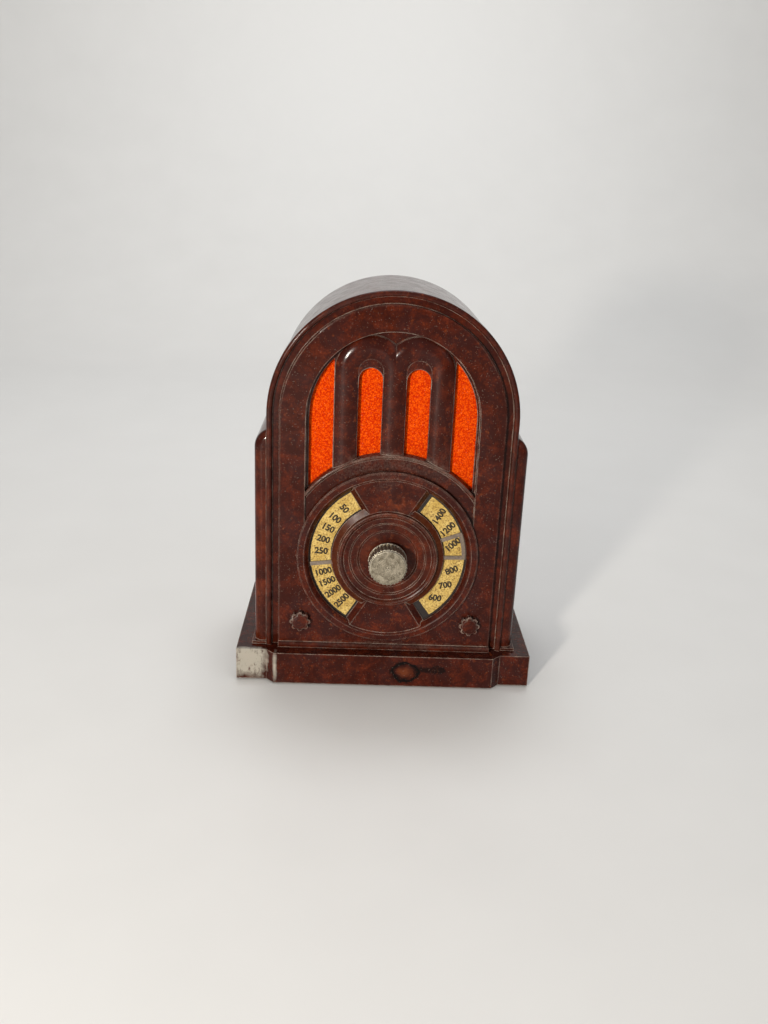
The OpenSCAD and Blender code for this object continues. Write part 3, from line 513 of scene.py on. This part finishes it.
def new_piece(name, mesh, materials, body, slot, *nodes):
    piece = add_object(name, mesh)
    for material in materials:
        mesh.materials.append(material)
    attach(piece, body)
    if nodes:
        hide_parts(*nodes)
    return piece


def shade_smooth(mesh):
    for face in mesh.polygons:
        face.use_smooth = True


def to_mesh(build, name):
    mesh = bpy.data.meshes.new(name)
    build.to_mesh(mesh)
    build.free()
    return mesh


def make_floor():
    """A pale floor that curves up into a backdrop well behind the radio."""
    half, front, back, bend, top = 5.0, -4.0, 1.5, 0.7, 4.0
    turns = 24
    # the row at 0.0 ends the bend's smooth shading there, so that the floor before it looks flat
    line = [(y, 0.0) for y in (front, 0.0, back - bend)]
    for i in range(1, turns + 1):
        a = math.pi / 2 * i / turns
        line.append((back - bend + bend * math.sin(a), bend * (1 - math.cos(a))))
    line.append((back, top))
    points = [(x, y, z) for y, z in line for x in (-half, half)]
    faces = [(2 * i, 2 * i + 1, 2 * i + 3, 2 * i + 2) for i in range(len(line) - 1)]
    mesh = bpy.data.meshes.new("floor")
    mesh.from_pydata(points, [], faces)
    mesh.materials.append(floor_finish())
    shade_smooth(mesh)
    floor = add_object("floor", mesh)


def in_cloth(x, z):
    """Whether a point is on the cut of the grille cloth: an arch whose foot clears the dial."""
    reach = cloth_high.x
    centre = cloth_high.z - reach
    clear = math.hypot(x, z - DIAL.z) > CLOTH_FOOT
    return clear and (z < centre or math.hypot(x, z - centre) < reach)


def make_cloth(material):
    """The grille cloth as a grid of small cells, with lumps of the weave and a slight sag."""
    cell = 0.45 * MM
    lump_size, lump_height = 0.9 * MM, 0.06 * MM
    sag_width, sag_height, sag_depth = 0.018, 0.03, 0.12 * MM
    across = int((cloth_high.x - cloth_low.x) / cell)
    rows = int((cloth_high.z - cloth_low.z) / cell)
    middle = (cloth_low.y + cloth_high.y) / 2
    build = bmesh.new()
    points = {}

    def point(i, j):
        if (i, j) not in points:
            x, z = cloth_low.x + i * cell, cloth_low.z + j * cell
            lumps = noise.noise(Vector((x / lump_size, z / lump_size, 0))) * lump_height
            sag = noise.noise(Vector((x / sag_width, z / sag_height, 5))) * sag_depth
            points[i, j] = build.verts.new((x, middle + lumps + sag, z))
        return points[i, j]

    for i in range(across):
        for j in range(rows):
            if in_cloth(cloth_low.x + (i + 0.5) * cell, cloth_low.z + (j + 0.5) * cell):
                build.faces.new([point(i, j), point(i + 1, j), point(i + 1, j + 1), point(i, j + 1)])
    mesh = to_mesh(build, "grille_fabric")
    shade_smooth(mesh)
    piece = new_piece("grille_fabric", mesh, [material], "radio", "cloth", "grille_cloth")


def on_dial(radius, degrees, y):
    a = math.radians(degrees)
    return Vector((DIAL.x + radius * math.cos(a), y, DIAL.z + radius * math.sin(a)))


def text_faces(build, words, size, place, degrees, material_index):
    """Adds words as thin faces, written along the direction given in degrees."""
    boldness, narrowing = 0.036, 0.98
    data = bpy.data.curves.new("words", "FONT")
    data.body, data.size, data.offset = words, size, size * boldness
    data.align_x, data.align_y = "CENTER", "CENTER"
    writer = add_object("words", data)
    bpy.context.view_layer.update()
    mesh = bpy.data.meshes.new_from_object(writer.evaluated_get(bpy.context.evaluated_depsgraph_get()))
    stand = Matrix.Rotation(math.radians(90), 4, "X")
    turn = Matrix.Rotation(math.radians(-degrees), 4, "Y")
    mesh.transform(Matrix.Translation(place) @ turn @ stand @ Matrix.Diagonal((narrowing, 1.0, 1, 1)))
    before = len(build.faces)
    build.from_mesh(mesh)
    build.faces.ensure_lookup_table()
    for face in build.faces[before:]:
        face.material_index = material_index
    bpy.data.objects.remove(writer)
    bpy.data.curves.remove(data)
    bpy.data.meshes.remove(mesh)


def make_scale(name, node, start, stop, marks, reading, material, ink):
    """A paper scale with ragged edges. reading is 0 where the print reads outwards, 180 inwards."""
    steps, rings = 180, 8
    tear, trim, curling = 0.22 * MM, 0.2 * MM, 0.12 * MM
    tears_per_degree, tears_across = 0.9, 3
    curls_per_degree, curls_across = 0.06, 1.3
    inside = 0.1   # share of the edge's raggedness that is left inside the sheet
    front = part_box(node)[0].y
    build = bmesh.new()
    grid = []
    for i in range(steps + 1):
        angle = start + (stop - start) * i / steps
        row = []
        for k in range(rings + 1):
            share = k / rings
            radius = PAPER_INNER + (PAPER_OUTER - PAPER_INNER) * share
            ragged = noise.noise(Vector((angle * tears_per_degree, share * tears_across, start))) * tear
            radius += ragged * (1 if k in (0, rings) else inside) - (trim if k == rings else 0)
            curl = noise.noise(Vector((angle * curls_per_degree, share * curls_across, 2)))
            row.append(build.verts.new(on_dial(radius, angle, front - abs(curl) * curling)))
        grid.append(row)
    for a, b in zip(grid, grid[1:]):
        for k in range(rings):
            build.faces.new([a[k], a[k + 1], b[k + 1], b[k]])
    middle = (PAPER_INNER + PAPER_OUTER) / 2 - 0.3 * MM
    for angle, slant, words in marks:
        place = on_dial(middle, angle, front - PRINT_LIFT)
        text_faces(build, words, PRINT_HEIGHT, place, angle + slant + reading, 1)
    mesh = to_mesh(build, name)
    piece = new_piece(name, mesh, [material, ink], "radio", "paper", node)
    thick = piece.modifiers.new("thickness", "SOLIDIFY")
    thick.thickness, thick.offset = PAPER_THICKNESS, 0


def make_scales(material, ink):
    # each mark: its angle on the dial and how far its line is turned from the radius, in degrees
    left = [(132, 0, "50"), (143.5, 0, "100"), (154.5, 0, "150"), (165.5, 0, "200"), (176.5, 0, "250"),
            (196, 0, "1000"), (206, 0, "1500"), (216.5, 0, "2000"), (228, 0, "2500")]
    right = [(42, 18, "1400"), (28, 18, "1200"), (13, 30, "1000"), (-11, 34, "800"), (-26, 38, "700"),
             (-41, 34, "600")]
    make_scale("left_paper", "left_scale", 118, 238.5, left, 180, material, ink)
    make_scale("right_paper", "right_scale", -54, 57.5, right, 0, material, ink)


def make_knob_pip(material):
    """The bright burr left by the lathe centre in the knob's face."""
    centre = Vector((KNOB.x, knob_low.y, KNOB.z))
    tip_depth = 0.05 * MM
    profile = [(0.25, 0.07), (0.45, 0.16), (0.60, 0.34), (0.66, 0.48)]   # radius and depth, in mm
    turns = 32
    build = bmesh.new()

    def ring(radius, depth):
        angles = [2 * math.pi * i / turns for i in range(turns)]
        return [
            build.verts.new(centre + Vector((radius * math.cos(a), depth, radius * math.sin(a))))
            for a in angles
        ]

    rings = [ring(radius * MM, depth * MM) for radius, depth in profile]
    tip = build.verts.new(centre + Vector((0, tip_depth, 0)))
    for i in range(turns):
        following = (i + 1) % turns
        build.faces.new([tip, rings[0][i], rings[0][following]])
        for inner, outer in zip(rings, rings[1:]):
            build.faces.new([inner[i], outer[i], outer[following], inner[following]])
    mesh = to_mesh(build, "knob_pip")
    shade_smooth(mesh)
    new_piece("knob_pip", mesh, [material], "tuner", "nickel")


# ---- scene ---------------------------------------------------------------------------------------

make_camera()
make_studio()
make_floor()
materials = make_materials()
make_cloth(materials["cloth"])
make_scales(materials["paper"], materials["ink"])
make_knob_pip(materials["nickel"])
